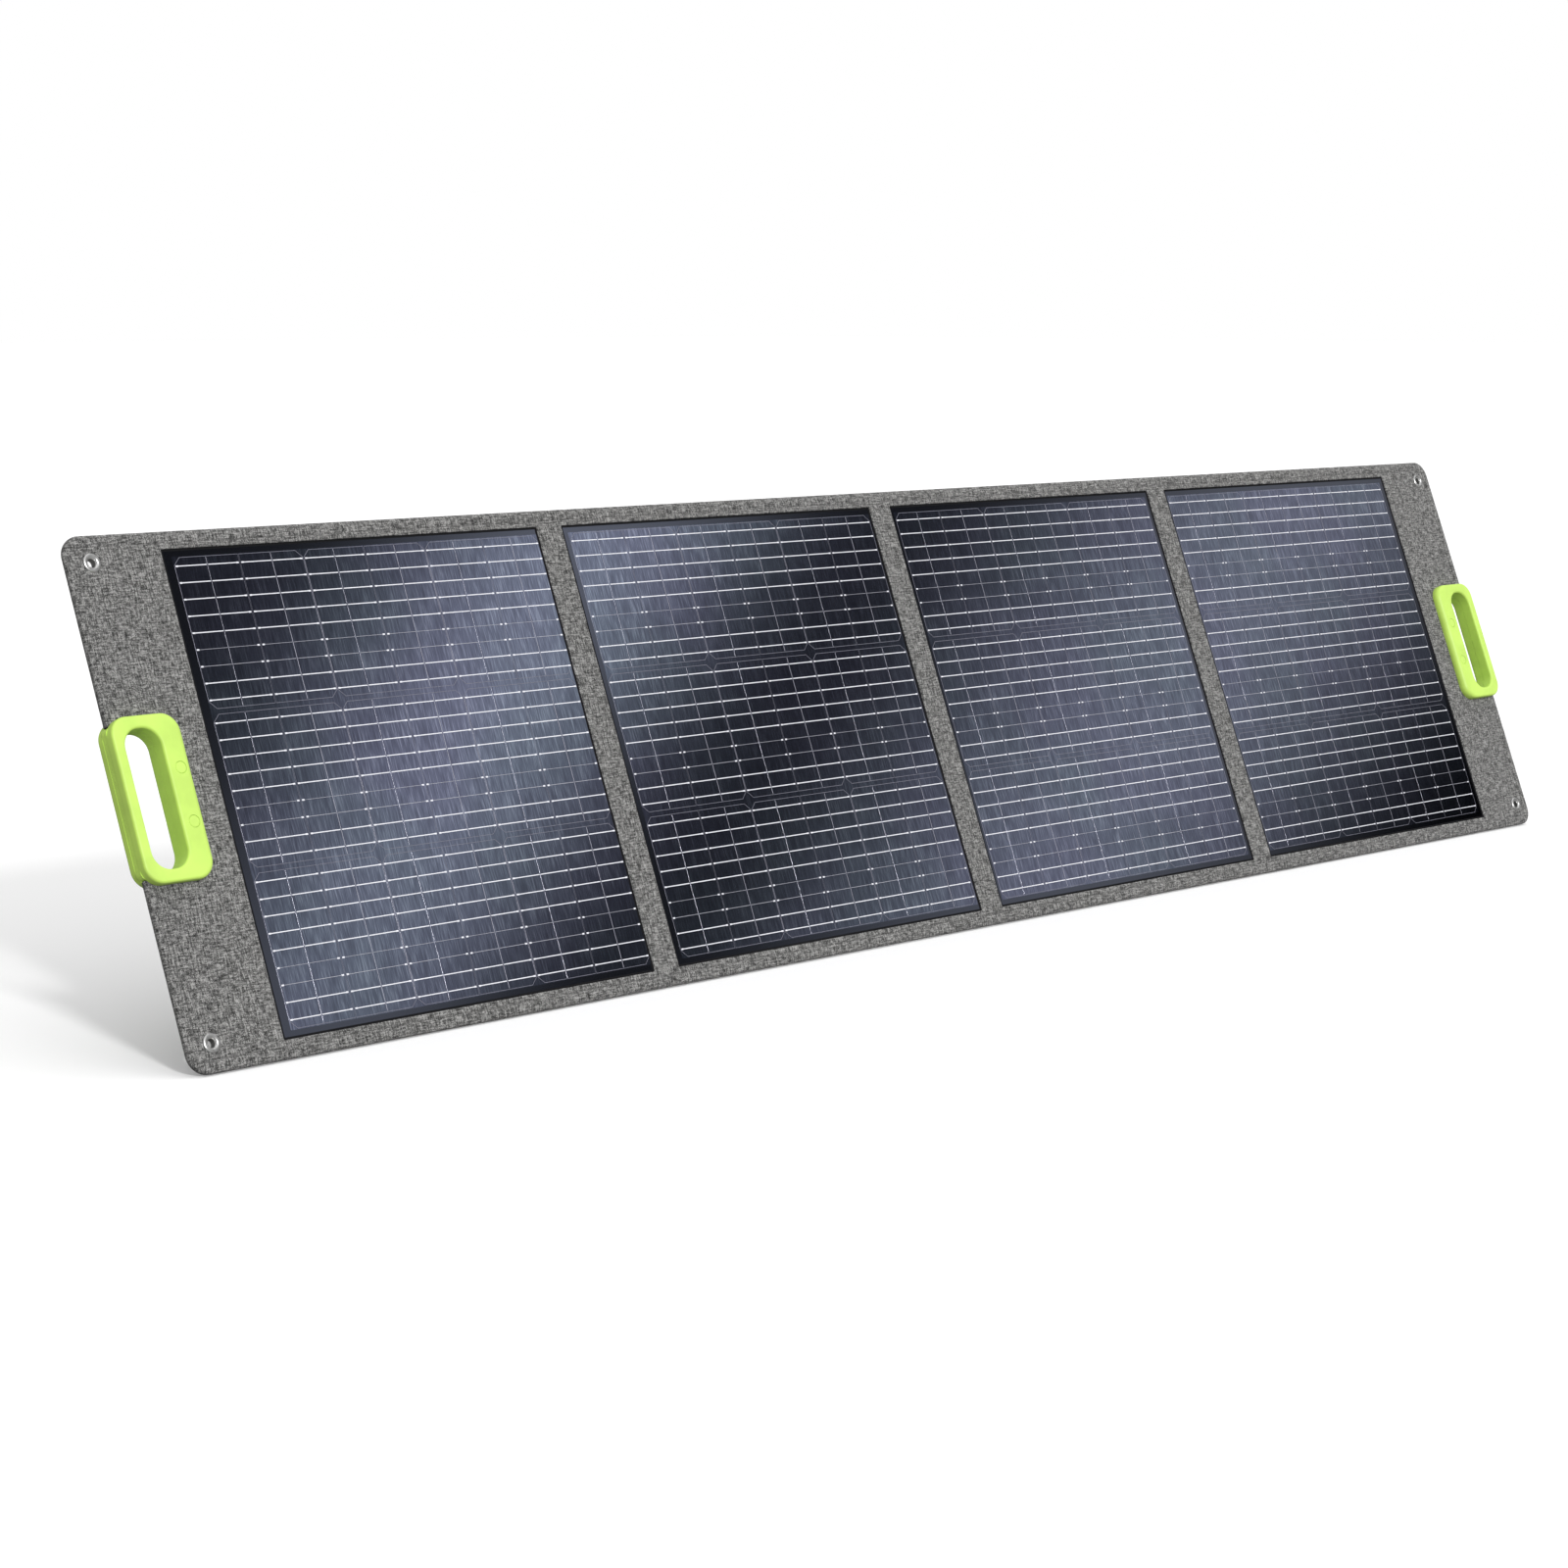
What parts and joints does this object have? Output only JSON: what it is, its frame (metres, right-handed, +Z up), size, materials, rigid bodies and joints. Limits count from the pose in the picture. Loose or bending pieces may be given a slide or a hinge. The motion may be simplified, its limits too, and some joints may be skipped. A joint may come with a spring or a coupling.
{
  "type": "solar suitcase kit",
  "caption": "Fold-out portable solar suitcase: hinged fabric panels with dark solar laminates, end grab handles, corner eyelets, rear kickstands and a cable pouch.",
  "frame": {"origin": "centre of the bounding box's footprint on the ground, with the panels open and standing on their bottom edge and the kickstands' feet", "axes": "+X along the open row of panels, to the right seen from the cell side; the cell side faces -Y and up, leaning back 68.3 degrees from the ground; +Z up"},
  "size_m": [2.327, 0.2864, 0.5092],
  "materials": {
    "fabric": "mid-grey melange woven polyester",
    "rear_fabric": "dark coated woven polyester",
    "laminate": "dark monocrystalline cells under a clear gloss laminate",
    "board": "fibreboard stiffener",
    "lime_plastic": "lime green moulded plastic, fine satin",
    "black_plastic": "black moulded plastic",
    "plated_metal": "bright nickel plate",
    "screw_steel": "zinc-plated steel",
    "rubber": "black moulded rubber",
    "webbing": "black woven polyester webbing",
    "circuit_board": "green solder mask"
  },
  "bodies": {
    "panel_1": {"cover_front_1": "fabric", "cover_rear_1": "rear_fabric", "left_eyelet_lower": "plated_metal", "left_eyelet_upper": "plated_metal", "left_eyelet_washer_lower": "plated_metal", "left_eyelet_washer_upper": "plated_metal", "left_handle_cap_lower": "lime_plastic", "left_handle_cap_upper": "lime_plastic", "left_handle_front": "lime_plastic", "left_handle_rear": "lime_plastic", "left_handle_screw_lower": "screw_steel", "left_handle_screw_upper": "screw_steel", "left_stand_hinge_tape": "webbing", "left_stand_snap_stud": "plated_metal", "left_stand_strap": "webbing", "solar_laminate_1": "laminate", "stiffener_1": "board"},
    "panel_2": {"cover_front_2": "fabric", "cover_rear_2": "rear_fabric", "solar_laminate_2": "laminate", "stiffener_2": "board"},
    "panel_3": {"cover_front_3": "fabric", "cover_rear_3": "rear_fabric", "solar_laminate_3": "laminate", "stiffener_3": "board"},
    "panel_4": {"cover_front_4": "fabric", "cover_rear_4": "rear_fabric", "diode_board": "circuit_board", "output_box_base": "black_plastic", "output_box_lid": "black_plastic", "output_socket": "black_plastic", "pouch": "rear_fabric", "pouch_snap_stud": "plated_metal", "right_eyelet_lower": "plated_metal", "right_eyelet_upper": "plated_metal", "right_eyelet_washer_lower": "plated_metal", "right_eyelet_washer_upper": "plated_metal", "right_handle_cap_lower": "lime_plastic", "right_handle_cap_upper": "lime_plastic", "right_handle_front": "lime_plastic", "right_handle_rear": "lime_plastic", "right_handle_screw_lower": "screw_steel", "right_handle_screw_upper": "screw_steel", "right_stand_hinge_tape": "webbing", "right_stand_snap_stud": "plated_metal", "right_stand_strap": "webbing", "solar_laminate_4": "laminate", "stiffener_4": "board"},
    "left_stand": {"left_stand_board": "board", "left_stand_cover_inner": "rear_fabric", "left_stand_cover_outer": "rear_fabric", "left_stand_foot": "rubber", "left_stand_snap_socket": "plated_metal"},
    "right_stand": {"right_stand_board": "board", "right_stand_cover_inner": "rear_fabric", "right_stand_cover_outer": "rear_fabric", "right_stand_foot": "rubber", "right_stand_snap_socket": "plated_metal"},
    "pouch_flap": {"pouch_flap": "rear_fabric", "pouch_snap_socket": "plated_metal"}
  },
  "joints": [
    {"name": "fold_a", "type": "hinge", "parent": "panel_1", "child": "panel_2", "pos_m": [-0.5325, -0.1469, 0.00433], "axis": [0, -0.3697, -0.9291], "range_deg": [0, 179.5]},
    {"name": "fold_b", "type": "hinge", "parent": "panel_2", "child": "panel_3", "pos_m": [0, -0.13231, -0.00148], "axis": [0, 0.3697, 0.9291], "range_deg": [0, 179.5]},
    {"name": "fold_c", "type": "hinge", "parent": "panel_3", "child": "panel_4", "pos_m": [0.5325, -0.1469, 0.00433], "axis": [0, -0.3697, -0.9291], "range_deg": [0, 179.5]},
    {"name": "left_stand_hinge", "type": "hinge", "parent": "panel_1", "child": "left_stand", "pos_m": [-0.7, 0.01633, 0.36988], "axis": [-1, 0, 0], "range_deg": [0, 40], "deforming": ["left_stand_strap"]},
    {"name": "right_stand_hinge", "type": "hinge", "parent": "panel_4", "child": "right_stand", "pos_m": [0.7, 0.01633, 0.36988], "axis": [-1, 0, 0], "range_deg": [0, 40], "deforming": ["right_stand_strap"]},
    {"name": "pouch_flap_hinge", "type": "hinge", "parent": "panel_4", "child": "pouch_flap", "pos_m": [0.95, -0.02334, 0.27911], "axis": [1, 0, 0], "range_deg": [0, 90]}
  ],
  "couplings": [
    {"joint": "fold_b", "follows": "fold_a", "ratio": 1},
    {"joint": "fold_c", "follows": "fold_a", "ratio": 1}
  ]
}
